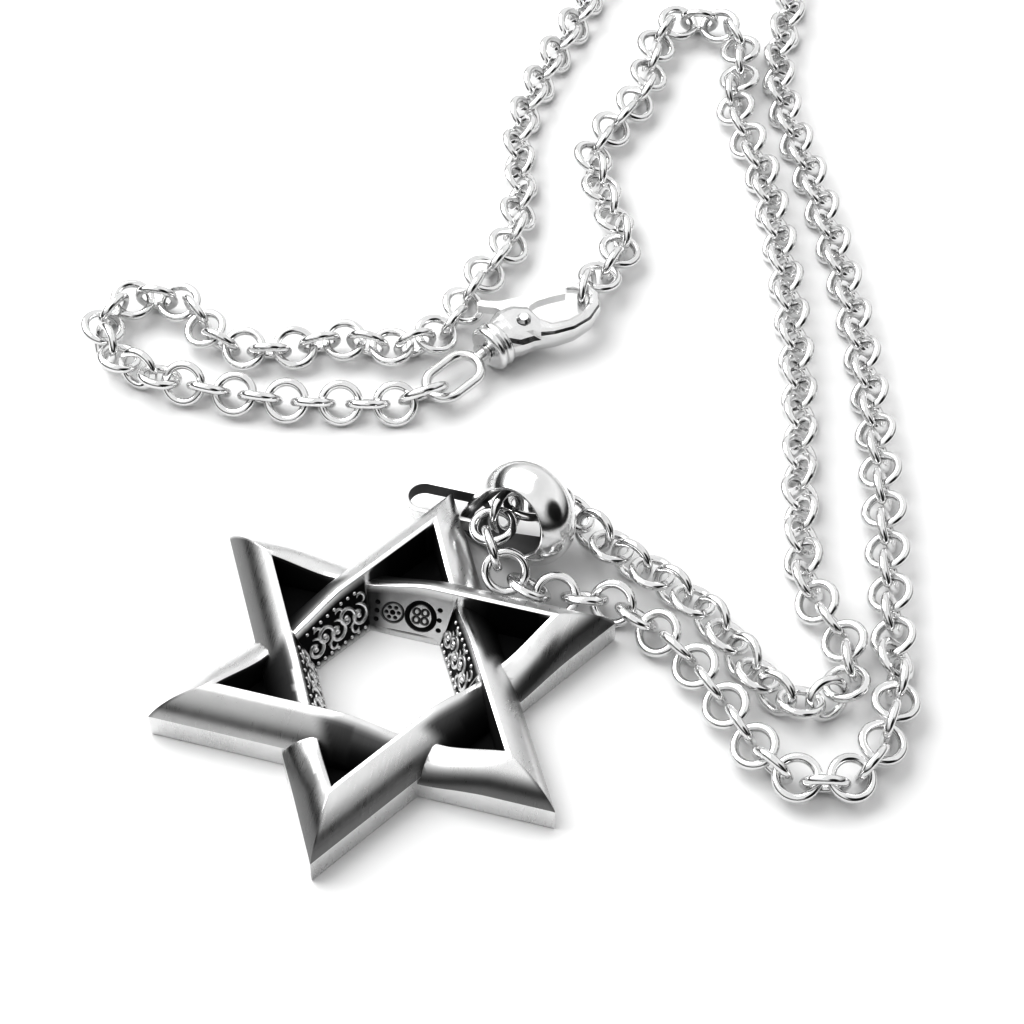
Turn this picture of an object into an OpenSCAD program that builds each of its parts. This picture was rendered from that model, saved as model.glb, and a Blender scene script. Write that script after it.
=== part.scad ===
/* [Star] */
// Tip radius of the star (mm)
star_r = 20; // [16:0.5:26]
// Width of each bar across its flat underside (mm)
bar_w = 2.93; // [2.4:0.05:3.6]
// Height of the upright outer wall (mm)
wall_z = 2.4; // [1.8:0.1:3.2]
// Height of the ridge along each bar (mm)
ridge_z = 5.2; // [4.2:0.1:6.2]
// Width of the narrow flat on the ridge (mm)
ridge_w = 0.6; // [0.4:0.05:0.9]
// Thickness of the sunken ground behind the pockets (mm)
floor_z = 1.2; // [0.8:0.1:1.6]
// Inner radius of the six-sided window in the middle (mm)
window_r = 5.35; // [4.6:0.05:6]
// How far a bar sinks where it runs under its neighbour (mm)
weave_dip = 1.35; // [0.6:0.05:1.8]
// Length over which it sinks (mm)
weave_run = 5.5; // [3:0.1:6]

/* [Tip loop] */
// Outer length of the oval loop behind the top tip (mm)
loop_len = 8.2; // [6.6:0.1:8.6]
// Outer depth of the loop (mm)
loop_deep = 3.7; // [3:0.1:4.2]
// Height of its band (mm)
loop_h = 1.3; // [1.2:0.1:1.5]
// Thickness of its band (mm)
loop_wall = 0.5; // [0.5:0.05:0.9]
// Height of its lower edge above the table (mm)
loop_z = 1.5; // [1.5:0.05:1.9]

/* [Bail] */
// Radius of the bail's big end (mm)
bail_r = 4.75; // [4.5:0.05:5]
// Radius of its slim end (mm)
bail_slim_r = 1.8; // [1.8:0.05:2.1]
// Distance between the two end centres (mm)
bail_len = 5.9; // [5.6:0.1:6.1]
// Band width at the big end (mm)
bail_w = 4.7; // [4.2:0.1:5.4]
// Band width at the slim end (mm)
bail_slim_w = 1.2; // [1.2:0.1:1.8]
// Rise of the domed outer face (mm)
bail_dome = 1.5; // [0.8:0.1:1.6]
// Thickness of the band (mm)
bail_t = 0.9; // [0.7:0.05:1.1]

/* [Chain] */
// Outer width of a chain link (mm)
link_d = 4.25; // [4.15:0.05:4.35]
// Wire thickness of a link (mm)
wire_d = 0.8; // [0.7:0.05:0.85]
// Distance from one link's centre to the next (mm)
link_pitch = 2.5; // [2.4:0.05:2.55]

/* [Clasp] */
// Radius of the beaded neck of the clasp (mm)
neck_r = 2.25; // [2.1:0.05:2.3]
// Thickness of the spring lever (mm)
lever_t = 1.0; // [0.8:0.1:1.1]
// Diameter of the rivet the lever turns on (mm)
pin_d = 0.8; // [0.6:0.05:0.9]
// Head diameter of the rivet (mm)
pin_head_d = 1.35; // [1.2:0.05:1.5]
// Wire thickness of the swivel eye (mm)
eye_w = 0.95; // [0.8:0.05:1.05]
// Outer diameter of the ring at the end of the chain (mm)
end_ring_d = 5; // [4.9:0.05:5.1]
// Wire thickness of that ring (mm)
end_ring_w = 0.85; // [0.75:0.05:0.9]
// Outer diameter of the ring the claw catches (mm)
catch_ring_d = 4.8; // [4.7:0.05:4.9]

/* [Hidden] */

// where the slim end of the bail hangs, and how the bail has fallen
bail_at = [3, star_r - 1.9, 1.82];
bail_turn = -11;
bail_pitch = 38;
bail_lean = -21;

// running clearances of the clasp's moving pieces
fit = 0.05;
gap = 0.1;
eye_l = 6.6;
eye_b = 4.4;
eye_roll = 0;
stem_d = 1.2;
head_d = 1.9;
head_h = 0.8;
pivot_at = [2.75, 1.4];

// how the clasp lies: left end of its spine, turn, lean and nose-up angle, height of its middle plane
clasp_at = [-0.9, star_r + 18.6];
clasp_turn = 31.5;
clasp_lean = 6;
clasp_nose = 2;
clasp_z = 2.3;
neck_at = [0.3, 0.75];
neck_turn = 28;

// star: distances of a bar's edges from the centre, sections of its flank and length
outer_d = star_r / 2;
inner_d = outer_d - bar_w;
ridge_d = inner_d + ridge_w;
flank_n = 6;
sec_n = 36;
crown = 0.11;

// crowned slope from the top of the outer wall up to the ridge
function flank_pt(t) = let(a = [outer_d, wall_z], b = [ridge_d, ridge_z])
    a + (b - a) * t + [(b - a).y, -(b - a).x] * crown * 4 * t * (1 - t);

function ease(t) = let(u = min(max(t, 0), 1)) 0.5 * u + 0.5 * u * u * (3 - 2 * u);

// share of the full dip at distance t along a bar, for the line at distance d from the centre
function dip_at(d, t) = let(lo = (inner_d - d / 2) / sin(60), hi = (outer_d - d / 2) / sin(60))
    t < lo ? ease((t - lo + weave_run) / weave_run) : t > hi ? ease((hi + weave_run - t) / weave_run) : 1;

function bar_sec(s) = [for (p = concat([[inner_d, 0], [outer_d, 0]],
        [for (i = [0:flank_n]) flank_pt(i / flank_n)], [[inner_d, ridge_z]]))
    let(t = s * p.x * tan(60)) [t, p.x, p.y <= 0 ? 0 : p.y - weave_dip * dip_at(p.x, -t) * p.y / ridge_z]];

// ring skinned through rows of equal length
module closed_skin(rows) {
    n = len(rows[0]);
    m = len(rows);
    polyhedron([for (r = rows) each r], [for (k = [0:m - 1], i = [0:n - 1])
        let(a = k * n, b = (k + 1) % m * n, j = (i + 1) % n)
        each [[a + i, b + i, b + j], [a + i, b + j, a + j]]]);
}

// solid skinned through rows of equal length, closed at both ends
module skin(rows) {
    n = len(rows[0]);
    m = len(rows);
    polyhedron([for (r = rows) each r], concat([[for (i = [0:n - 1]) i]],
        [[for (i = [n - 1:-1:0]) (m - 1) * n + i]],
        [for (k = [0:m - 2], i = [0:n - 1]) [k * n + i, (k + 1) * n + i, (k + 1) * n + (i + 1) % n]],
        [for (k = [0:m - 2], i = [0:n - 1]) [k * n + i, (k + 1) * n + (i + 1) % n, k * n + (i + 1) % n]]));
}

function turned_by(a, p) = [p.x * cos(a) - p.y * sin(a), p.x * sin(a) + p.y * cos(a), p.z];

// three bars mitred at the tips into one closed frame
module triangle() closed_skin([for (a = [0, -120, -240], k = [0:sec_n - 1])
    [for (p = bar_sec(-1 + 2 * k / sec_n)) turned_by(a, p)]]);

// sloping wall between a bar's inner side and the window
module window_wall() skin([for (s = [-0.34, 0.34])
    let(z = ridge_z - weave_dip * dip_at(inner_d, -s * inner_d * tan(60)))
    [for (p = [[window_r, 0], [inner_d + 0.3, 0], [inner_d + 0.3, z - 0.3], [inner_d, z - 0.01]])
        [s * p.x * tan(60), p.x, p.y]]]);

module ground() linear_extrude(floor_z) difference() {
    for (a = [30, 90]) rotate(a) circle(r = star_r - 1, $fn = 3);
    circle(r = (inner_d + 0.1) / cos(30), $fn = 6);
}

// flat oval loop soldered round the top tip
module tip_loop() translate([0, star_r + 0.75 - loop_deep / 2, loop_z]) linear_extrude(loop_h) difference() {
    oval(loop_len, loop_deep);
    oval(loop_len - 2 * loop_wall, loop_deep - 2 * loop_wall);
}

module oval(l, w) hull() for (s = [-1, 1]) translate([s * (l - w) / 2, 0]) circle(d = w, $fn = 32);

module star() color("silver") {
    for (a = [0, 60]) rotate(a) triangle();
    for (a = [0:5]) rotate(60 * a) window_wall();
    ground();
    tip_loop();
}

// bail
drop_cut = -(bail_r - bail_slim_r) / bail_len;

// teardrop outline by the direction a it faces
function drop_pt(a) = let(big = cos(a) > drop_cut)
    [big ? bail_len : 0, 0] + (big ? bail_r : bail_slim_r) * [cos(a), sin(a)];

function half_w(x) = let(s = (x + bail_slim_r) / (bail_len + bail_slim_r))
    (bail_slim_w + (bail_w - bail_slim_w) * pow(sin(90 * pow(min(max(s, 0), 1), 0.8)), 2)) / 2;

// across the band: domed outside, hollow inside, thin rims
function band_sec(a) = let(p = drop_pt(a), n = [cos(a), sin(a)], h = half_w(p.x), q = pow(2 * h / bail_w, 2))
    concat([for (k = [-4:4]) let(v = p - n * bail_dome * q * k * k / 16) [v.x, h * k / 4, v.y]],
        [for (k = [3:-1:-3]) let(v = p - n * (bail_t - 0.2 * (1 - q) + (bail_dome - 0.3) * q * k * k / 9))
            [v.x, h * k / 3, v.y]]);

module bail() color("silver") translate(bail_at) rotate([0, 0, bail_turn]) rotate([0, -bail_pitch, 0])
    rotate([bail_lean, 0, 0]) closed_skin([for (a = [0:6:354]) band_sec(a)]);

// clasp
// everything on the clasp is drawn lying flat, x along the claw, y towards the lever
module on_clasp() translate([clasp_at.x, clasp_at.y, clasp_z]) rotate([0, 0, clasp_turn])
    rotate([clasp_lean, -clasp_nose, 0]) children();

// along the swivel: z runs from the eye to the claw
module on_swivel() translate([neck_at.x, neck_at.y, 0]) rotate([0, 90, neck_turn]) children();

// sections of the claw: x, y, direction, half width, half height
claw = [
    [0.3, 0.75, 24, 1.9, 1.75],
    [1.3, 1.3, 18, 2.4, 1.7],
    [2.4, 1.55, 8, 2.45, 1.6],
    [3.4, 1.35, -6, 2.1, 1.5],
    [4.1, 0.5, -12, 1.25, 1.4],
    [5.2, 0.05, -2, 0.8, 1.35],
    [7, 0.15, 10, 0.75, 1.25],
    [8.6, 0.8, 32, 0.72, 1.1],
    [9.75, 1.95, 62, 0.68, 0.9],
    [10.15, 3.3, 95, 0.62, 0.7],
    [9.6, 4.5, 138, 0.55, 0.6],
    [8.6, 4.95, 172, 0.45, 0.55],
    [7.9, 4.98, 184, 0.3, 0.45],
];

function sq(a, e) = sign(a) * pow(abs(a), e);
function claw_sec(c) = [for (k = [0:17])
    let(a = k * 20, w = c[3] * sq(cos(a), 0.75), h = c[4] * sq(sin(a), 0.75))
    [c[0] - w * sin(c[2]), c[1] + w * cos(c[2]), h]];

lever_plan = [
    [2.35, 0.5], [2.75, 0.4], [3.2, 0.6], [3.45, 1.1], [3.5, 2], [3.6, 3], [4, 3.65], [4.8, 3.98],
    [6, 4.1], [7.62, 4.1], [7.62, 4.5], [6, 4.72], [4.4, 4.85], [2.8, 4.9], [1.4, 4.95], [0.5, 5.2],
    [-0.2, 5.5], [-0.7, 5.35], [-0.65, 4.95], [0, 4.6], [0.9, 4.2], [1.5, 3.5], [1.8, 2.4], [2.05, 1.2],
];

module clasp_body() color("silver") on_clasp() difference() {
    union() {
        skin([for (c = claw) claw_sec(c)]);
        on_swivel() {
            translate([0, 0, -1.7]) cylinder(r = neck_r - 0.35, h = 2.3, $fn = 48);
            for (z = [-1.3, -0.45]) translate([0, 0, z])
                rotate_extrude($fn = 48) translate([neck_r - 0.45, 0]) circle(r = 0.45, $fn = 20);
        }
    }
    // slot for the lever, open to the side and to the eye of the claw
    translate([0, 0, -lever_t / 2 - gap]) linear_extrude(lever_t + 2 * gap)
        polygon([[1.3, -0.1], [4.6, -0.1], [5.2, 1], [5.2, 6.4], [-1.4, 6.4], [-1.4, 4.2],
            [0.4, 3.2], [1.3, 1.6]]);
    translate([pivot_at.x, pivot_at.y, -3]) cylinder(d = pin_d + 2 * fit, h = 6, $fn = 32);
    on_swivel() {
        translate([0, 0, -3]) cylinder(d = stem_d + 2 * gap, h = 3, $fn = 32);
        translate([0, 0, -0.75 - gap]) cylinder(d = head_d + 2 * gap, h = head_h + 2 * gap, $fn = 32);
    }
}

module clasp_lever() color("silver") on_clasp() translate([0, 0, -lever_t / 2]) linear_extrude(lever_t)
difference() {
    polygon(lever_plan);
    translate(pivot_at) circle(d = pin_d + 2 * fit, $fn = 32);
}

module lever_pin() color("silver") on_clasp() translate([pivot_at.x, pivot_at.y, 0]) {
    cylinder(d = pin_d, h = 3.5, center = true, $fn = 32);
    for (s = [0, 1]) mirror([0, 0, s]) translate([0, 0, 1.68])
        cylinder(d1 = pin_head_d, d2 = pin_head_d - 0.5, h = 0.3, $fn = 32);
}

module swivel_eye() color("silver") on_clasp() on_swivel() {
    translate([0, 0, -0.75]) cylinder(d = head_d, h = head_h, $fn = 32);
    translate([0, 0, -3]) cylinder(d = stem_d, h = 3, $fn = 32);
    translate([0, 0, -2.45]) cylinder(d1 = 2.2, d2 = 1.6, h = 0.5, $fn = 32);
    translate([0, 0, -2.7 - eye_l / 2]) rotate([0, 0, eye_roll]) rotate([0, 90, 0]) eye_ring();
}

// long ring: two half rings joined by straight sides
module eye_ring() {
    r = (eye_b - eye_w) / 2;
    d = (eye_l - eye_b) / 2;
    for (s = [0, 1]) mirror([s, 0, 0]) translate([d, 0, 0]) intersection() {
        ring(eye_b, eye_w);
        translate([0, -eye_b, -eye_w]) cube([eye_b, 2 * eye_b, 2 * eye_w]);
    }
    for (s = [-1, 1]) translate([-d, s * r, 0]) rotate([0, 90, 0]) cylinder(d = eye_w, h = 2 * d, $fn = 16);
}

// points the chain passes through: x, y, roll of its links from 45 degrees, height where it is raised
route = [
    [5.8, 50.1, -45, 2.4], [6.6, 52.9, -32], [6.5, 56.3, -33], [4.3, 59.7, -22], [2.6, 63, -29],
    [0.9, 67.4, -21], [3.4, 77.9, -18], [3, 83.5, -24], [3.6, 88.5, -30], [6.7, 90.4, -23], [10.4, 89, -28],
    [12.3, 83.6, -33], [12.6, 78.8, -19], [18.2, 67.9, 2], [23.8, 52.3, -1], [27.2, 40.1, 0],
    [29.6, 28.4, 12], [32.3, 18.8, -8], [36.1, 14.1, -17], [37.5, 10.1, -30], [35.6, 6.9, -21],
    [32.3, 6.5, -31], [28.3, 9.9, -16], [24.4, 13.5, -23], [19.5, 16.2, -34], [15.4, 18, -34],
    [12.5, 19.7, -22, 2.4], [10, 20.3, -32, 3.7], [6.7, 18.5, -32, 4.6], [5.5, 16.7, -28, 5.3],
    [5.1, 13.9, -44, 5.2], [6.6, 12.2, -16, 3.8], [8.7, 11.8, 13, 2.5], [11, 11.9, -6], [16.3, 12.5, 6],
    [20.2, 10.8, -5], [23.7, 8.6, -20], [28.9, 3.6, -22], [33.1, -0.5, -27], [37.8, -1.1, -23],
    [40.6, 1.3, -26], [41.5, 5.2, -39], [41.6, 9.5, -44], [40.4, 14.8, 17], [36.6, 30.7, 23],
    [33.4, 42.2, 4], [29.3, 54.1, 0], [23.8, 67, 0], [17.4, 80.5, 0], [15.4, 88, 0], [15, 96, 0],
    [12.1, 103.9, 5], [5.1, 107, 3], [-2.6, 103.6, 5], [-5.6, 95.9, -2], [-6, 88.2, 0], [-7.1, 79, 0],
    [-7.2, 68.6, -2], [-4.8, 60.3, 5], [-3.8, 52.3, 20], [-5.4, 46.1, 25], [-6.4, 40, 22], [-10, 36.3, 38],
    [-15.6, 35.7, 22], [-21.6, 32.6, 14], [-26.9, 32.7, 24], [-30.3, 35.9, 31], [-35.3, 35.8, 27],
    [-37.3, 32.6, 29], [-36.4, 29.3, 28], [-31.8, 26.9, 31], [-24.1, 26.6, -12], [-17.5, 27.3, -6],
    [-12.4, 28.6, 0], [-8.3, 29.7, 0],
];

slack = 0.15;

// height at which a link turned by roll rests on the table
function rest_z(roll) = 0.04 + wire_d / 2 + (link_d - wire_d) / 2 * sin(min(45 + abs(roll), 90));
last = len(route) - 1;
// the route follows the top tip, and its end follows the far end of the swivel's eye
eye_pull = (6.6 - eye_l) * [0.51, 0.86, 0.08];
points = [for (i = [0:last]) let(r = route[i])
    [r.x, r.y + star_r - 20, len(r) > 3 ? r[3] : rest_z(r.z)]
    + max(0, 1 - (last - i) / 5) * [eye_pull.x, eye_pull.y, 0]];
function slope(i) = let(a = points[max(i - 1, 0)], b = points[i], c = points[min(i + 1, last)])
    (c - a) / (norm(c - b) + norm(b - a));
function between(i, t) = let(d = norm(points[i + 1] - points[i]))
    points[i] * (1 - t) * (1 - t) * (1 + 2 * t) + points[i + 1] * t * t * (3 - 2 * t)
    + slope(i) * d * t * (1 - t) * (1 - t) - slope(i + 1) * d * t * t * (1 - t);
line = concat([for (i = [0:last - 1], k = [0:7]) between(i, k / 8)], [points[last]]);
// length along the chain, where turned links sit a little closer together
turned = [for (i = [0:last - 1], k = [0:7]) abs(route[i].z * (8 - k) + route[i + 1].z * k) / 8];
run = [for (i = 0, s = 0; i < len(line); s = s + (i + 1 < len(line)
    ? norm(line[i + 1] - line[i]) * (1 + slack * turned[i] / 45) : 0), i = i + 1) s];
along = [for (c = [0:2]) [for (i = [0:len(line) - 1]) [run[i], line[i][c]]]];
roll = [for (i = [0:last]) [run[8 * i], route[i].z]];
function spot(s) = [for (c = [0:2]) lookup(s, along[c])];
total = run[len(run) - 1];
links = round(total / link_pitch) + 1;
step = total / (links - 1);
split = 128;

// rings at the two ends of the chain
end_at = [-6.05, star_r + 11.2, 2.2] + eye_pull;
end_turn = 39;
end_roll = -55;
catch_at = [5.1, star_r + 27.75, 2.45];
catch_turn = 89;
catch_roll = 85;

module link(k) {
    s = k * step;
    d = spot(s + step / 2) - spot(s - step / 2);
    translate(spot(s)) rotate([0, -atan2(d.z, norm([d.x, d.y])), atan2(d.y, d.x)])
        rotate([lookup(s, roll) + (k % 2 == 0 ? 45 : -45), 0, 0]) ring(link_d, wire_d);
}

module ring(d, w) rotate_extrude($fn = 32) translate([(d - w) / 2, 0]) circle(d = w, $fn = 16);

module chain_a() color("silver") for (k = [0:split - 1]) link(k);
module chain_b() color("silver") for (k = [split:links - 1]) link(k);

module end_ring() color("silver") translate(end_at) rotate([0, 0, end_turn]) rotate([end_roll, 0, 0])
    ring(end_ring_d, end_ring_w);
module catch_ring() color("silver") translate(catch_at) rotate([0, 0, catch_turn])
    rotate([catch_roll, 0, 0]) ring(catch_ring_d, wire_d);

star();
bail();
chain_a();
chain_b();
end_ring();
catch_ring();
swivel_eye();
clasp_body();
clasp_lever();
lever_pin();
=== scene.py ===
import math

import bpy
import numpy as np
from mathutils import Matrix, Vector


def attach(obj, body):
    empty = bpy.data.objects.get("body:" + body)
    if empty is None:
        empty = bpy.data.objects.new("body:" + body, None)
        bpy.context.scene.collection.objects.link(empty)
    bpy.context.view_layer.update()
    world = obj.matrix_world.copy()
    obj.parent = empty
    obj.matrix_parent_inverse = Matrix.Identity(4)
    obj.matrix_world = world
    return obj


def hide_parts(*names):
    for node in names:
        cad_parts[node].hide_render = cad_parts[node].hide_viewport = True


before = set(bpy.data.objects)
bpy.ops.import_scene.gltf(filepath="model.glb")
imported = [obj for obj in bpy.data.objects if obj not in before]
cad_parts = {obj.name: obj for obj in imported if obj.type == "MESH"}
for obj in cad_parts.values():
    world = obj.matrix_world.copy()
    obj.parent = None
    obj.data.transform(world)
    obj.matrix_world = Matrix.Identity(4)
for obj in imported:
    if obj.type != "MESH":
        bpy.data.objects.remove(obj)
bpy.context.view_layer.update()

MM = 0.001
S3 = math.sqrt(3)
BARS = range(30, 390, 60)  # outward directions of the star's six bars, in degrees

# Sizes of the shapes, in mm and degrees.
# star: tip radius; bar's width, outer wall, ridge and flat on the ridge; ground plate
STAR_R, BAR_W, WALL_Z, RIDGE_Z, RIDGE_W, FLOOR_Z = 20, 2.93, 2.4, 5.2, 0.42, 1.2
OUTER_D = STAR_R / 2  # from the middle out to a bar's outer wall, its inner wall and its ridge's edge
INNER_D = OUTER_D - BAR_W
RIDGE_D = INNER_D + RIDGE_W
DIP, DIP_RUN, CROWN = 1.35, 5.5, 0.11  # dip of a bar under its neighbour, its run, swell of the slope
INNER_ROWS = (4.7, 4.2, 3.2, 2.2)  # heights of rows on a bar's inner wall, for the patina to fade over
FOOT_EDGE, SHOULDER_EDGE, RIDGE_EDGES = 0.12, 0.22, (0.2, 0.12)  # radii of a bar's edges
SLOPE_STEPS, BAR_STEPS = 15, 97
STAR_SHARP = 32  # edges sharper than this stay sharp, in degrees
GROUND_SHORT, GROUND_LAP = 1, 0.1  # the ground plate ends inside the tips and laps under the bars
# window: from the middle to its edge, drop from ridge to wall, lap into the bar, half length over the width
WINDOW_R, RIM_DROP, WALL_LAP, WALL_SPAN = 5.35, 0.25, 0.3, 0.345
WALL_LAP_DROP, WALL_ROWS, WALL_STEPS = 0.4, 41, 8
# ornament, drawn flat on a wall: x along it, y up from the window's edge
WALL_UP, DRAWN_LOW, DRAWN_TOP = 4.6, 0.4, 3.85
BRIGHT_WALL = 90  # the bar over the wall that is bright, with its ornament cut in
BEAD_SIDES, BEAD_END, BEAD_SWELL = 8, 0.35, 0.25  # a bead's end is thinner and swells from point to point
PEARL_SIDES, PEARL_ROWS, PEARL_TOP = 10, 7, 80  # its flat ends are at 80 degrees
# loop behind the top tip: outer length and depth, height, wall, lower side, edge, how far it stands out
LOOP_LEN, LOOP_DEEP, LOOP_H, LOOP_WALL, LOOP_Z, LOOP_EDGE, LOOP_OUT = 8.2, 3.7, 1.3, 0.5, 1.5, 0.12, 0.75
LOOP_Y = STAR_R + LOOP_OUT - LOOP_DEEP / 2
LOOP_STRAIGHT = (LOOP_LEN - LOOP_DEEP) / 2
LOOP_STEPS = 64
# bail: radii at the big and the slim end and their distance, widths, dome, thickness
BAIL_R, BAIL_SLIM_R, BAIL_LEN, BAIL_W, BAIL_SLIM_W, BAIL_DOME, BAIL_T = 4.75, 1.8, 5.9, 4.7, 1.2, 1.5, 0.9
# power of its widening, how much thinner the slim end is and how much flatter the inner side, edge
BAIL_FLARE, BAIL_THINNER, BAIL_FLATTER, BAIL_EDGE, BAIL_SHARP = 0.8, 0.2, 0.3, 0.12, 40
BAIL_ACROSS, BAIL_EDGE_STEPS, BAIL_STEP = 17, 3, 2
BAIL_FACE = BAIL_ACROSS - 2 + 2 * (BAIL_EDGE_STEPS + 1)  # points of a section before its inner side
BAIL_AT, BAIL_TURN, BAIL_PITCH, BAIL_LEAN = (3, 18.1, 1.82), -11, 38, -21

# share of patina left on the slope inside the pocket at each tip
WEAR = {90: 0.8, 30: 0.8, 330: 0.72, 270: 0.68, 210: 0.72, 150: 0.75}
# painted shade: a dark band low on the outer slopes, painted in for a dark reflection: (bar, side) -> width,
# strength
PAINTED_SHADE_BANDS = {
    (270, -1): (1.4, 0.85), (270, 1): (2.3, 0.4), (330, -1): (1.45, 0.95), (330, 1): (0.95, 0.85),
    (210, -1): (2.6, 0.85), (210, 1): (2.6, 0.8), (30, -1): (0.8, 0.5), (30, 1): (0.8, 0.5),
}
# elsewhere; a band over WIDE_BAND fades over WIDE_FADE, others over a share of their width up to MOST_FADE
NO_BAND, WIDE_BAND, WIDE_FADE, MOST_FADE, FADE_SHARE = (0.5, 0.0), 2, 0.3, 0.9, 0.6
# share of patina on the pockets' upright walls, inside the loop and inside the bail
WALL_PATINA, LOOP_PATINA, BAIL_PATINA = 0.93, 0.85, 0.8


def mesh_object(name, verts, faces, scale=MM):
    me = bpy.data.meshes.new(name)
    me.from_pydata([tuple(v) for v in np.asarray(verts, float) * scale], [], faces)
    me.validate()
    me.update()
    ob = bpy.data.objects.new(name, me)
    bpy.context.scene.collection.objects.link(ob)
    return ob


def skin(name, rows, closed=True, scale=MM):
    """Solid through rows of equal length, with its faces turned outwards."""
    rows = np.asarray(rows, float)
    m, n = rows.shape[:2]
    k, i = np.meshgrid(np.arange(m if closed else m - 1), np.arange(n), indexing="ij")
    a, b, j = k * n, (k + 1) % m * n, (i + 1) % n
    quads = np.stack([a + i, b + i, b + j, a + j], -1).reshape(-1, 4)
    p = rows.reshape(-1, 3)
    mid = p.mean(0)
    q = p[quads] - mid
    volume = sum(float((q[:, 0] * np.cross(q[:, u], q[:, u + 1])).sum()) for u in (1, 2))
    faces = quads.tolist()
    if not closed:
        caps = [list(range(n)), list(range((m - 1) * n, m * n))[::-1]]
        volume += sum(float(np.dot(p[c[0]] - mid, np.cross(p[c[v]] - mid, p[c[v + 1]] - mid)))
                      for c in caps for v in range(1, n - 1))
        faces += caps
    if volume < 0:
        faces = [f[::-1] for f in faces]
    return mesh_object(name, p, faces, scale)


def round_corners(points, radii, steps=4):
    """Closed outline with each corner rounded by its own radius."""
    out = []
    n = len(points)
    for i, r in enumerate(radii):
        p, a, b = (np.array(points[j % n], float) for j in (i, i - 1, i + 1))
        if r == 0:
            out.append(p)
            continue
        u, v = (a - p) / np.linalg.norm(a - p), (b - p) / np.linalg.norm(b - p)
        half = math.acos(float(np.clip(u @ v, -1, 1))) / 2
        back = r / math.tan(half)
        mid = (u + v) / np.linalg.norm(u + v)
        c = p + mid * r / math.sin(half)
        s, e = p + u * back - c, p + v * back - c
        sweep = math.atan2(s[0] * e[1] - s[1] * e[0], float(s @ e))
        for k in range(steps + 1):
            cos, sin = math.cos(sweep * k / steps), math.sin(sweep * k / steps)
            out.append(c + np.array([s[0] * cos - s[1] * sin, s[0] * sin + s[1] * cos]))
    return np.array(out)


def turned(points, degrees):
    """Points turned about Z."""
    a = math.radians(degrees)
    c, s = math.cos(a), math.sin(a)
    p = np.asarray(points, float)
    out = p.copy()
    out[..., 0] = p[..., 0] * c - p[..., 1] * s
    out[..., 1] = p[..., 0] * s + p[..., 1] * c
    return out


def rot_x(points, degrees):
    return turned(np.asarray(points)[..., [1, 2, 0]], degrees)[..., [2, 0, 1]]


def rot_y(points, degrees):
    return turned(np.asarray(points)[..., [2, 0, 1]], degrees)[..., [1, 2, 0]]


def union(name, parts, cuts=()):
    """One mesh from all parts, with the cuts taken out of it."""
    base = parts[0]
    for tool in (*parts[1:], *cuts):
        mod = base.modifiers.new("join", "BOOLEAN")
        mod.operation = "DIFFERENCE" if tool in cuts else "UNION"
        mod.solver, mod.object = "MANIFOLD", tool
    bpy.context.view_layer.update()
    me = bpy.data.meshes.new_from_object(base.evaluated_get(bpy.context.evaluated_depsgraph_get()))
    ob = bpy.data.objects.new(name, me)
    bpy.context.scene.collection.objects.link(ob)
    for p in (*parts, *cuts):
        bpy.data.objects.remove(p)
    return ob


def smooth(ob, degrees):
    """Smooth shading, with edges sharper than the angle kept."""
    ob.data.polygons.foreach_set("use_smooth", [True] * len(ob.data.polygons))
    ob.data.set_sharp_from_angle(angle=math.radians(degrees))


def outward(co, a):
    """Distance of each point from the middle in the outward direction of bar a."""
    return co[:, 0] * math.cos(math.radians(a)) + co[:, 1] * math.sin(math.radians(a))


def along(co, a):
    """Place of each point along bar a, from the bar's middle."""
    return co[:, 0] * math.sin(math.radians(a)) - co[:, 1] * math.cos(math.radians(a))


def ease(t):
    u = np.clip(t, 0, 1)
    return 0.5 * u + 0.5 * u * u * (3 - 2 * u)


def dip_at(d, t):
    """Share of the dip at distance d from the middle and place t along a bar."""
    lo, hi = (INNER_D - d / 2) / (S3 / 2), (OUTER_D - d / 2) / (S3 / 2)
    before, after = ease((t - lo + DIP_RUN) / DIP_RUN), ease((hi + DIP_RUN - t) / DIP_RUN)
    return np.where(t < lo, before, np.where(t > hi, after, 1.0))


def ridge_top(co, a):
    """Height of the ridge of bar a beside each point."""
    return RIDGE_Z - DIP * dip_at(INNER_D, -along(co, a))


def bar_outline():
    """Section of a bar: distance from the middle, height."""
    a, b = np.array([OUTER_D, WALL_Z]), np.array([RIDGE_D, RIDGE_Z])
    n = np.array([(b - a)[1], -(b - a)[0]])
    slope = [a + (b - a) * t + n * CROWN * 4 * t * (1 - t) for t in np.linspace(0, 1, SLOPE_STEPS)]
    inner = [(INNER_D, z) for z in (RIDGE_Z, *INNER_ROWS)]
    radii = [0, FOOT_EDGE, SHOULDER_EDGE, *[0] * (SLOPE_STEPS - 2), *RIDGE_EDGES, *[0] * len(INNER_ROWS)]
    return round_corners([(INNER_D, 0), (OUTER_D, 0)] + slope + inner, radii)


def on_wall(points, a):
    """Points drawn flat, laid on the window's sloping wall under bar a, with the wall's normals there."""
    x, y = np.asarray(points, float).T
    v = y / WALL_UP
    d = WINDOW_R + (INNER_D - WINDOW_R) * v
    out, side = (np.array([math.cos(math.radians(a)), math.sin(math.radians(a))]),
                 np.array([math.sin(math.radians(a)), -math.cos(math.radians(a))]))
    flat = d[:, None] * out + x[:, None] * side
    rise = ridge_top(flat, a) - RIM_DROP
    n = np.c_[-rise[:, None] * out, np.full(len(x), INNER_D - WINDOW_R)]
    n /= np.linalg.norm(n, axis=1)[:, None]
    return np.c_[flat, v * rise], n


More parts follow.
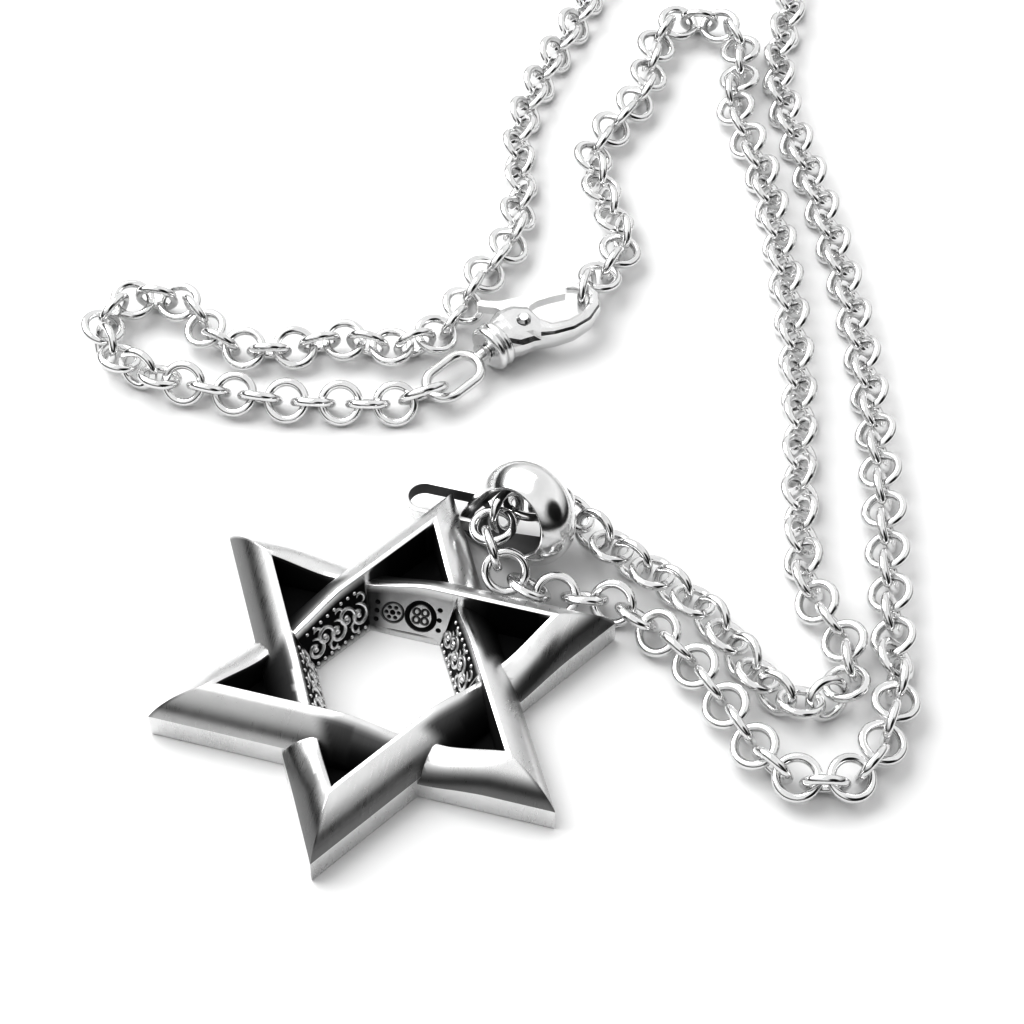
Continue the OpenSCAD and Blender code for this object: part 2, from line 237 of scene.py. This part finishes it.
def tube(points, normals, radius, ends):
    """Round bead along a line that lies on a surface; a closed ring when it has no ends."""
    p = np.asarray(points)
    t = np.gradient(p, axis=0) if ends else np.roll(p, -1, 0) - np.roll(p, 1, 0)
    t /= np.linalg.norm(t, axis=1)[:, None]
    side = np.cross(t, normals)
    side /= np.linalg.norm(side, axis=1)[:, None]
    up = np.cross(side, t)
    r = np.full(len(p), radius)
    if ends:
        k = np.arange(len(p))
        r *= np.clip(BEAD_END + BEAD_SWELL * np.minimum(k, len(p) - 1 - k), 0, 1)
    a = np.radians(np.arange(0, 360, 360 // BEAD_SIDES))
    ring = side[:, None] * np.cos(a)[None, :, None] + up[:, None] * np.sin(a)[None, :, None]
    return skin("bead", p[:, None] + ring * r[:, None, None], closed=not ends, scale=1)


def pearl(p, n, radius):
    """Small ball half sunk in a surface at p with normal n."""
    side = np.cross(n, [0.31, 0.52, 0.8])  # any direction that no wall faces
    side /= np.linalg.norm(side)
    up = np.cross(n, side)
    turns = np.radians(np.arange(0, 360, 360 // PEARL_SIDES))
    ring = np.array([side * math.cos(q) + up * math.sin(q) for q in turns])
    heights = np.radians(np.linspace(-PEARL_TOP, PEARL_TOP, PEARL_ROWS))
    rows = [p + radius * (math.cos(q) * ring + math.sin(q) * n) for q in heights]
    return skin("pearl", rows, closed=False, scale=1)


def arc(cx, cy, r0, r1, start, sweep, steps):
    """Arc or spiral from radius r0 to r1."""
    t = np.linspace(0, 1, steps)
    a = np.radians(start + sweep * t)
    r = r0 + (r1 - r0) * t
    return np.c_[cx + r * np.cos(a), cy + r * np.sin(a)]


def circle(cx, cy, r, steps):
    return arc(cx, cy, r, r, 0, 360 - 360 / steps, steps)


def around(cx, cy, r, degrees):
    return [(cx + r * math.cos(q), cy + r * math.sin(q)) for q in np.radians(degrees)]


def rosettes():
    """Two ringed rosettes between dots, over a border: lines, rings and balls, each with its radius."""
    mid, flower_x, petals_x, border_y, half = 2.2, -1.3, 1.2, 0.5, 2.7
    heavy, fine, thin = 0.24, 0.13, 0.1
    lines = [(np.c_[np.linspace(-half, half, 12), np.full(12, border_y)], thin)]
    rings = [(circle(petals_x, mid, 1.2, 36), heavy), (circle(flower_x, mid, 0.95, 36), fine)]
    rings += [(circle(x, y, 0.3, 12), fine) for x, y in around(petals_x, mid, 0.52, (45, 135, 225, 315))]
    balls = [((flower_x, mid), 0.26)]
    balls += [(at, 0.2) for at in around(flower_x, mid, 0.55, range(0, 360, 60))]
    balls += [((x, y), 0.24) for x in (-half, half + 0.15) for y in (1.3, mid, 3.1)]
    return lines, rings, balls


def scrolls(flip):
    """Five spirals with small leaves between two rows of pearls, every other spiral upside down."""
    mid, spiral_r, leaf_r, eye_r, pearl_r = 2.15, 0.22, 0.17, 0.3, 0.2
    lines, balls = [], []
    for i, x in enumerate(np.linspace(-2.45, 2.45, 5)):
        up = flip * (1 if i % 2 else -1)
        eye_y, leaf_x, leaf_y = mid + 0.25 * up, x + 0.62, mid - 1.05 * up
        lines += [(arc(x, eye_y, 1.0, 0.3, -90 * up, 430 * up, 26), spiral_r),
                  (arc(leaf_x, leaf_y, 0.5, 0.3, 90 * up, 250, 12), leaf_r)]
        balls += [((x, eye_y), eye_r)]
    balls += [((x, y), pearl_r) for y in (0.55, 3.8) for x in np.linspace(-2.7, 2.7, 8)]
    return lines, [], balls


def make_ornament():
    """Scrolls and pearls to raise on five walls of the window, rosettes to cut into the sixth."""
    raised, cut = [], []
    for k, a in enumerate(BARS):
        lines, rings, balls = rosettes() if a == BRIGHT_WALL else scrolls(-1 if k % 2 else 1)
        beads = cut if a == BRIGHT_WALL else raised
        for pts, r, ends in [(*line, True) for line in lines] + [(*ring, False) for ring in rings]:
            pts[:, 1] = np.clip(pts[:, 1], DRAWN_LOW, DRAWN_TOP)
            beads.append(tube(*on_wall(pts, a), r, ends))
        for at, r in balls:
            p, n = on_wall([at], a)
            beads.append(pearl(p[0], n[0], r))
    return raised, cut


def make_triangles():
    """The two triangles of bars, each bar dipping where its neighbour passes over it."""
    sec = bar_outline()
    triangles = []
    for base in (0, 60):
        rows = []
        for turn in (0, -120, -240):
            for s in np.linspace(-1, 1, BAR_STEPS)[:-1]:
                t = s * sec[:, 0] * S3
                z = sec[:, 1] * (1 - DIP * dip_at(sec[:, 0], -t) / RIDGE_Z)
                rows.append(turned(np.c_[t, sec[:, 0], z], turn + base))
        triangles.append(skin("triangle", rows, scale=1))
    return triangles


def make_walls():
    """Six sloping walls of the window."""
    walls = []
    for a in range(6):
        rows = []
        for s in np.linspace(-WALL_SPAN, WALL_SPAN, WALL_ROWS):
            ridge = RIDGE_Z - DIP * float(dip_at(INNER_D, np.array(-s * INNER_D * S3)))
            top = ridge - RIM_DROP
            lap = INNER_D + WALL_LAP
            p = [(WINDOW_R, 0), (lap, 0), (lap, ridge - WALL_LAP_DROP), (INNER_D, top)]
            p += [(INNER_D + (WINDOW_R - INNER_D) * k / WALL_STEPS, top * (1 - k / WALL_STEPS))
                  for k in range(1, WALL_STEPS)]
            rows.append(turned([(s * x * S3, x, z) for x, z in p], 60 * a))
        walls.append(skin("wall", rows, closed=False, scale=1))
    return walls


def make_ground():
    """Plate behind the six pockets."""
    rows = []
    for k in range(12):
        a = math.radians(30 * k)
        outer = (STAR_R - GROUND_SHORT) / (1 if k % 2 else S3)
        inner = (INNER_D + GROUND_LAP) * (1 if k % 2 else 2 / S3)
        rows.append([(r * math.cos(a), r * math.sin(a), z)
                     for r, z in ((inner, 0), (outer, 0), (outer, FLOOR_Z), (inner, FLOOR_Z))])
    return skin("ground", rows, scale=1)


def make_loop():
    half = LOOP_WALL / 2
    sec = round_corners([(-half, 0), (half, 0), (half, LOOP_H), (-half, LOOP_H)], [LOOP_EDGE] * 4)
    d = (LOOP_DEEP - LOOP_WALL) / 2 + sec[:, 0]
    rows = []
    for k in range(LOOP_STEPS):
        a = 2 * math.pi * k / LOOP_STEPS
        side = math.copysign(LOOP_STRAIGHT, math.cos(a))
        rows.append(np.c_[side + d * math.cos(a), LOOP_Y + d * math.sin(a), LOOP_Z + sec[:, 1]])
    return skin("loop", rows, scale=1)


def fade(values, start, run):
    """0 up to start, then rising to 1 over the run; with a negative run it rises downwards."""
    return np.clip((values - start) / run, 0, 1)


def pocket_mask(co):
    """Patina on the ground, the walls and the slopes inside the six pockets, and inside the loop."""
    slack, on_wall_at, bare_rim, wall_run = 0.05, 0.035, 0.12, 0.3
    slope_run, clear_run, darker_below, ground_from = 0.55, 0.95, 0.3, 0.6
    tip_clear, loop_lowest = 0.15, 17.2
    mask = np.zeros(len(co))
    d = {a: outward(co, a) for a in BARS}
    z = co[:, 2]
    for a in BARS:
        under, over = 30 + (a + 30) % 360, 30 + (a - 90) % 360
        inside = (d[under] < INNER_D + 0.03) & (d[over] < INNER_D + 0.06) & (d[a] > RIDGE_D + slack)
        wall = np.zeros(len(co))
        for side in (under, over):
            depth = WALL_PATINA * fade(ridge_top(co, side) - z, bare_rim, wall_run)
            wall = np.where(np.abs(d[side] - INNER_D) < on_wall_at, np.maximum(wall, depth), wall)
        depth = fade(d[a], RIDGE_D, OUTER_D - RIDGE_D)
        slope = fade(d[a] - RIDGE_D, slack, slope_run) * fade(INNER_D - d[over], -slack, clear_run)
        slope *= WEAR[a] * (1 + darker_below * depth)
        ground = (z < FLOOR_Z + slack) & (d[a] > RIDGE_D + ground_from)
        mask = np.where(inside, np.maximum.reduce([mask, wall, slope, ground]), mask)
    x, y = np.abs(co[:, 0]), co[:, 1]
    reach = np.hypot(np.maximum(x - LOOP_STRAIGHT, 0), y - LOOP_Y)
    hollow = (reach < LOOP_DEEP / 2 - LOOP_WALL + 0.06) & (z > LOOP_Z - 0.02)
    beside_tip = (x > (STAR_R - y) / S3 + tip_clear) & (y > loop_lowest)
    return np.where(hollow & beside_tip, LOOP_PATINA, mask)


def window_mask(co):
    """Patina round the raised ornament, in the cut one and thinly over the bright wall, which is made darker
    towards its left end.
    """
    cut_under, raised_over, lift_run, rim_run = -0.05, 0.03, 0.06, 0.25
    left_end, left_run, left_dark, bright = 1.6, 1.2, 0.75, 0.08
    mask = np.zeros(len(co))
    d = {a: outward(co, a) for a in BARS}
    most = np.max(np.array(list(d.values())), 0)
    run = INNER_D - WINDOW_R
    for a in BARS:
        top = ridge_top(co, a)
        rise = top - RIM_DROP
        lift = (rise * (WINDOW_R - d[a]) + run * co[:, 2]) / np.hypot(run, rise)
        if a == BRIGHT_WALL:
            plain = bright + left_dark * fade(-along(co, a), left_end, left_run)
            dark = np.maximum(fade(lift, cut_under, -lift_run), plain)
        else:
            dark = 1 - fade(lift, raised_over, lift_run)
        here = (d[a] >= most - 1e-6) & (most < INNER_D + 0.02) & (co[:, 2] > 0.01)
        mask = np.where(here, dark * fade(top - co[:, 2], RIM_DROP, rim_run), mask)
    return mask


def painted_shade_band_mask(co, normal):
    """Painted shade: dark bands low on the outer slopes, painted in for dark reflections."""
    facing, least_up, ridge_up, ridge_run, foot = 0.8, 0.2, 0.98, 0.1, 1.6
    mask = np.zeros(len(co))
    flat = np.hypot(normal[:, 0], normal[:, 1])
    off_ridge = fade(normal[:, 2], ridge_up, -ridge_run)
    for a in BARS:
        own = (outward(normal, a) > facing * flat) & (normal[:, 2] > least_up)
        for side in (-1, 1):
            width, strength = PAINTED_SHADE_BANDS.get((a, side), NO_BAND)
            run = WIDE_FADE if width > WIDE_BAND else min(MOST_FADE, width * FADE_SHARE)
            band = off_ridge * strength * fade(outward(co, a) - OUTER_D, -width, run)
            mask = np.where(own & (along(co, a) * side > 0), band * (co[:, 2] > foot), mask)
    return mask


def make_star():
    """The cast star in one mesh, with its loop, its ornament and the masks of its patina and of its painted
    shade.
    """
    raised, cut = make_ornament()
    star = union("star_cast", make_triangles() + make_walls() + [make_ground(), make_loop()] + raised, cut)
    me = star.data
    co, normal = np.empty(len(me.vertices) * 3), np.empty(len(me.vertices) * 3)
    me.vertices.foreach_get("co", co)
    me.vertex_normals.foreach_get("vector", normal)
    co, normal = co.reshape(-1, 3), normal.reshape(-1, 3)
    # masks of the patina in the pockets and the window, and of the painted shade band low on the outer slopes
    masks = {"pocket": pocket_mask(co), "window": window_mask(co), "painted_shade_band": painted_shade_band_mask(co, normal)}
    for name, values in masks.items():
        me.attributes.new(name, "FLOAT", "POINT").data.foreach_set("value", values.astype(np.float32))
    me.vertices.foreach_set("co", (co * MM).ravel())
    me.update()
    smooth(star, STAR_SHARP)
    return star


def make_bail():
    """Teardrop band, domed outside and hollow inside, fallen over to the right."""
    cut = -(BAIL_R - BAIL_SLIM_R) / BAIL_LEN
    rows = []
    for a in np.radians(np.arange(0, 360, BAIL_STEP)):
        n = np.array([math.cos(a), math.sin(a)])
        p = np.array([BAIL_LEN, 0]) + BAIL_R * n if math.cos(a) > cut else BAIL_SLIM_R * n
        s = np.clip((p[0] + BAIL_SLIM_R) / (BAIL_LEN + BAIL_SLIM_R), 0, 1)
        half = (BAIL_SLIM_W + (BAIL_W - BAIL_SLIM_W) * math.sin(math.pi / 2 * s ** BAIL_FLARE) ** 2) / 2
        q = (2 * half / BAIL_W) ** 2
        thick, hollow = BAIL_T - BAIL_THINNER * (1 - q), BAIL_DOME - BAIL_FLATTER
        k = np.linspace(-1, 1, BAIL_ACROSS)
        outer = [(half * u, -BAIL_DOME * q * u * u) for u in k]
        inner = [(half * u, -(thick + hollow * q * u * u)) for u in k[::-1][1:-1]]
        radii = [BAIL_EDGE if i in (0, BAIL_ACROSS - 1) else 0 for i in range(len(outer + inner))]
        sec = round_corners(outer + inner, radii, BAIL_EDGE_STEPS)
        rows.append([(p[0] + n[0] * w, u, p[1] + n[1] * w) for u, w in sec])
    rows = rot_y(rot_x(np.array(rows), BAIL_LEAN), -BAIL_PITCH)
    rows = turned(rows, BAIL_TURN) + np.array(BAIL_AT)
    ob = skin("bail_band", rows)
    inside = np.zeros(rows.shape[:2], np.float32)
    inside[:, BAIL_FACE:] = BAIL_PATINA
    ob.data.attributes.new("pocket", "FLOAT", "POINT").data.foreach_set("value", inside.ravel())
    smooth(ob, BAIL_SHARP)
    return ob


star = make_star()
bail = make_bail()
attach(star, "necklace")
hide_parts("star")
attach(bail, "necklace")
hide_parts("bail")

# noise scales per metre: cloudy wear, fine grain, brush lines
WEAR_SCALE, GRAIN_SCALE, BRUSH_SCALE, BRUSH_TURN = 320.0, 2600.0, (9000.0, 500.0, 900.0), (0.0, 0.0, 0.5)
SCRATCH_DEEP = 0.00002  # metres
# painted shade: tint of the dark band low on the star's outer slopes
PAINTED_SHADE_TINT = (0.155, 0.155, 0.155, 1)
# tint and added roughness of the patina
POCKET_TINT, POCKET_MATT = (0.035, 0.035, 0.036, 1), 0.35
WINDOW_TINT, WINDOW_MATT = (0.02, 0.02, 0.021, 1), 0.15


def node(tree, kind, inputs=None, **props):
    nd = tree.nodes.new(kind)
    for k, v in props.items():
        setattr(nd, k, v)
    for k, v in (inputs or {}).items():
        if isinstance(v, bpy.types.NodeSocket):
            tree.links.new(v, nd.inputs[k])
        else:
            nd.inputs[k].default_value = v
    return nd


def math_node(tree, operation, *values, **props):
    return node(tree, "ShaderNodeMath", dict(enumerate(values)), operation=operation, **props).outputs[0]


def mix(tree, share, colour, tint):
    return node(tree, "ShaderNodeMix", {"Factor": share, 6: colour, 7: tint}, data_type="RGBA").outputs[2]


def attribute(tree, name):
    return node(tree, "ShaderNodeAttribute", attribute_name=name).outputs["Fac"]


def ramp(tree, fac, stops):
    nd = tree.nodes.new("ShaderNodeValToRGB")
    tree.links.new(fac, nd.inputs[0])
    el = nd.color_ramp.elements
    el[0].position, el[0].color = stops[0][0], (*[stops[0][1]] * 3, 1)
    el[1].position, el[1].color = stops[-1][0], (*[stops[-1][1]] * 3, 1)
    for pos, v in stops[1:-1]:
        e = el.new(pos)
        e.color = (v, v, v, 1)
    return nd.outputs[0]


def silver(name, tone, rough, brushed=0.0, patina=False, scratch=0.25):
    """Worn silver; with patina it is darkened where the mesh's masks say so: patina in its hollows and a
    painted shade band low on the outer slopes.
    """
    mat = bpy.data.materials.new(name)
    mat.use_nodes = True
    t = mat.node_tree
    bsdf = t.nodes["Principled BSDF"]
    bsdf.inputs["Metallic"].default_value = 1.0
    pos = node(t, "ShaderNodeTexCoord").outputs["Object"]
    wear = {"Vector": pos, "Scale": WEAR_SCALE, "Detail": 4.0, "Roughness": 0.6}
    wear = node(t, "ShaderNodeTexNoise", wear).outputs["Fac"]
    grain = node(t, "ShaderNodeTexNoise", {"Vector": pos, "Scale": GRAIN_SCALE, "Detail": 3.0}).outputs["Fac"]
    stretch = {"Vector": pos, "Rotation": BRUSH_TURN, "Scale": BRUSH_SCALE}
    stretch = node(t, "ShaderNodeMapping", stretch).outputs[0]
    brush = node(t, "ShaderNodeTexNoise", {"Vector": stretch, "Scale": 1.0, "Detail": 2.0}).outputs["Fac"]
    colour = ramp(t, wear, [(0.3, tone * 0.9), (0.7, tone)])
    spread = {"Value": wear, "To Min": rough * 0.7, "To Max": rough * 1.45}
    spread = node(t, "ShaderNodeMapRange", spread).outputs[0]
    rgh = math_node(t, "MULTIPLY_ADD", brush, 0.10 + brushed * 0.2, spread)
    height = math_node(t, "MULTIPLY_ADD", brush, 0.35 + brushed, grain)
    bump = node(t, "ShaderNodeBump", {"Height": height, "Strength": scratch, "Distance": SCRATCH_DEEP})
    if patina:
        uneven = math_node(t, "MULTIPLY_ADD", wear, 0.12, 0.94)
        # painted shade: the dark band low on the outer slopes
        colour = mix(t, attribute(t, "painted_shade_band"), colour, PAINTED_SHADE_TINT)
        for mask, tint, matt in (("pocket", POCKET_TINT, POCKET_MATT), ("window", WINDOW_TINT, WINDOW_MATT)):
            share = math_node(t, "MULTIPLY", attribute(t, mask), uneven, use_clamp=True)
            colour = mix(t, share, colour, tint)
            rgh = math_node(t, "MULTIPLY_ADD", share, matt, rgh)
    t.links.new(colour, bsdf.inputs["Base Color"])
    t.links.new(rgh, bsdf.inputs["Roughness"])
    t.links.new(bump.outputs[0], bsdf.inputs["Normal"])
    return mat


def dress(ob, mat):
    ob.data.materials.clear()
    ob.data.materials.append(mat)


# the star's silver: wear and patina, and a painted shade band low on the outer slopes
dress(star, silver("star_silver_worn_and_painted_shade", tone=0.86, rough=0.2, brushed=0.4, patina=True, scratch=0.13))
dress(bail, silver("bail_silver_polished", tone=0.84, rough=0.1, patina=True))
chain_mat = silver("chain_silver_wire", tone=0.84, rough=0.08, scratch=0.15)
clasp_mat = silver("clasp_silver_worn", tone=0.83, rough=0.16)
for name in ("chain_a", "chain_b", "end_ring", "catch_ring"):
    dress(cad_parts[name], chain_mat)
for name in ("swivel_eye", "clasp_body", "clasp_lever", "lever_pin"):
    dress(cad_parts[name], clasp_mat)

FLOOR_HALF = 6000  # mm, so that the floor reaches the horizon in low views
FLOOR_GAP = 0.00003  # metres between the floor and the part's lowest faces
corners = [(x * FLOOR_HALF, y * FLOOR_HALF, 0) for x, y in ((-1, -1), (1, -1), (1, 1), (-1, 1))]
floor = mesh_object("floor", corners, [(0, 1, 2, 3)])
floor.location.z = -FLOOR_GAP
floor_mat = bpy.data.materials.new("pale_floor")
floor_mat.use_nodes = True
shader = floor_mat.node_tree.nodes["Principled BSDF"]
shader.inputs["Base Color"].default_value = (0.84, 0.84, 0.84, 1)
shader.inputs["Roughness"].default_value = 0.45
shader.inputs["Specular IOR Level"].default_value = 0.25
dress(floor, floor_mat)

KEY_AT, KEY_AIM, KEY_SIZE, KEY_POWER = (-0.30, 0.10, 0.38), (0.01, 0.03, 0), 0.5, 2.25
key = bpy.data.lights.new("key", "AREA")
key.shape, key.size, key.size_y, key.energy = "RECTANGLE", KEY_SIZE, KEY_SIZE, KEY_POWER
key_light = bpy.data.objects.new("key", key)
bpy.context.scene.collection.objects.link(key_light)
key_light.location = KEY_AT
key_light.rotation_euler = (Vector(KEY_AIM) - Vector(KEY_AT)).to_track_quat("-Z", "Y").to_euler()

# light of the studio over the height of its direction, with more of it from behind
SKY = [(0.0, 0.02), (0.14, 0.03), (0.22, 0.14), (0.34, 0.55), (0.5, 0.8), (0.68, 1.0), (1.0, 0.9)]
SKY_STRENGTH, BEHIND = 1.15, 0.4
# a dark flag stands to the right in front of the pendant: direction, cosines of its soft edge, light left
FLAG_AT, FLAG_EDGE, FLAG_LIGHT = (0.677, -0.51, 0.53), (0.89, 0.95), 0.03
world = bpy.data.worlds.new("studio")
bpy.context.scene.world = world
world.use_nodes = True
wt = world.node_tree
direction = node(wt, "ShaderNodeTexCoord").outputs["Generated"]
axes = node(wt, "ShaderNodeSeparateXYZ", {0: direction}).outputs
back = math_node(wt, "POWER", math_node(wt, "MAXIMUM", axes["Y"], 0.0), 2.0)
sky = ramp(wt, math_node(wt, "MULTIPLY_ADD", back, BEHIND, axes["Z"]), SKY)
toward = node(wt, "ShaderNodeVectorMath", {0: direction, 1: FLAG_AT}, operation="DOT_PRODUCT")
edge = {"Value": toward.outputs["Value"], "From Min": FLAG_EDGE[0], "From Max": FLAG_EDGE[1],
        "To Min": 1.0, "To Max": FLAG_LIGHT}
flag = node(wt, "ShaderNodeMapRange", edge).outputs[0]
sky = node(wt, "ShaderNodeVectorMath", {0: sky, "Scale": flag}, operation="SCALE").outputs[0]
wt.links.new(sky, wt.nodes["Background"].inputs["Color"])
wt.nodes["Background"].inputs["Strength"].default_value = SKY_STRENGTH

# camera worked out from the star's corner points in the photo, in metres and degrees
LENS, SENSOR = 92.1, 36
CAMERA_AT, CAMERA_TURN = (0.04379, -0.12478, 0.17758), (40.43, -0.52, 15.445)
camera_data = bpy.data.cameras.new("camera")
camera = bpy.data.objects.new("camera", camera_data)
bpy.context.scene.collection.objects.link(camera)
camera_data.lens, camera_data.sensor_width = LENS, SENSOR
camera_data.clip_start, camera_data.clip_end = 0.01, 10
camera.location = CAMERA_AT
camera.rotation_euler = [math.radians(a) for a in CAMERA_TURN]
bpy.context.scene.camera = camera
bpy.context.scene.view_settings.view_transform = "Standard"
bpy.context.scene.view_settings.gamma = 0.66
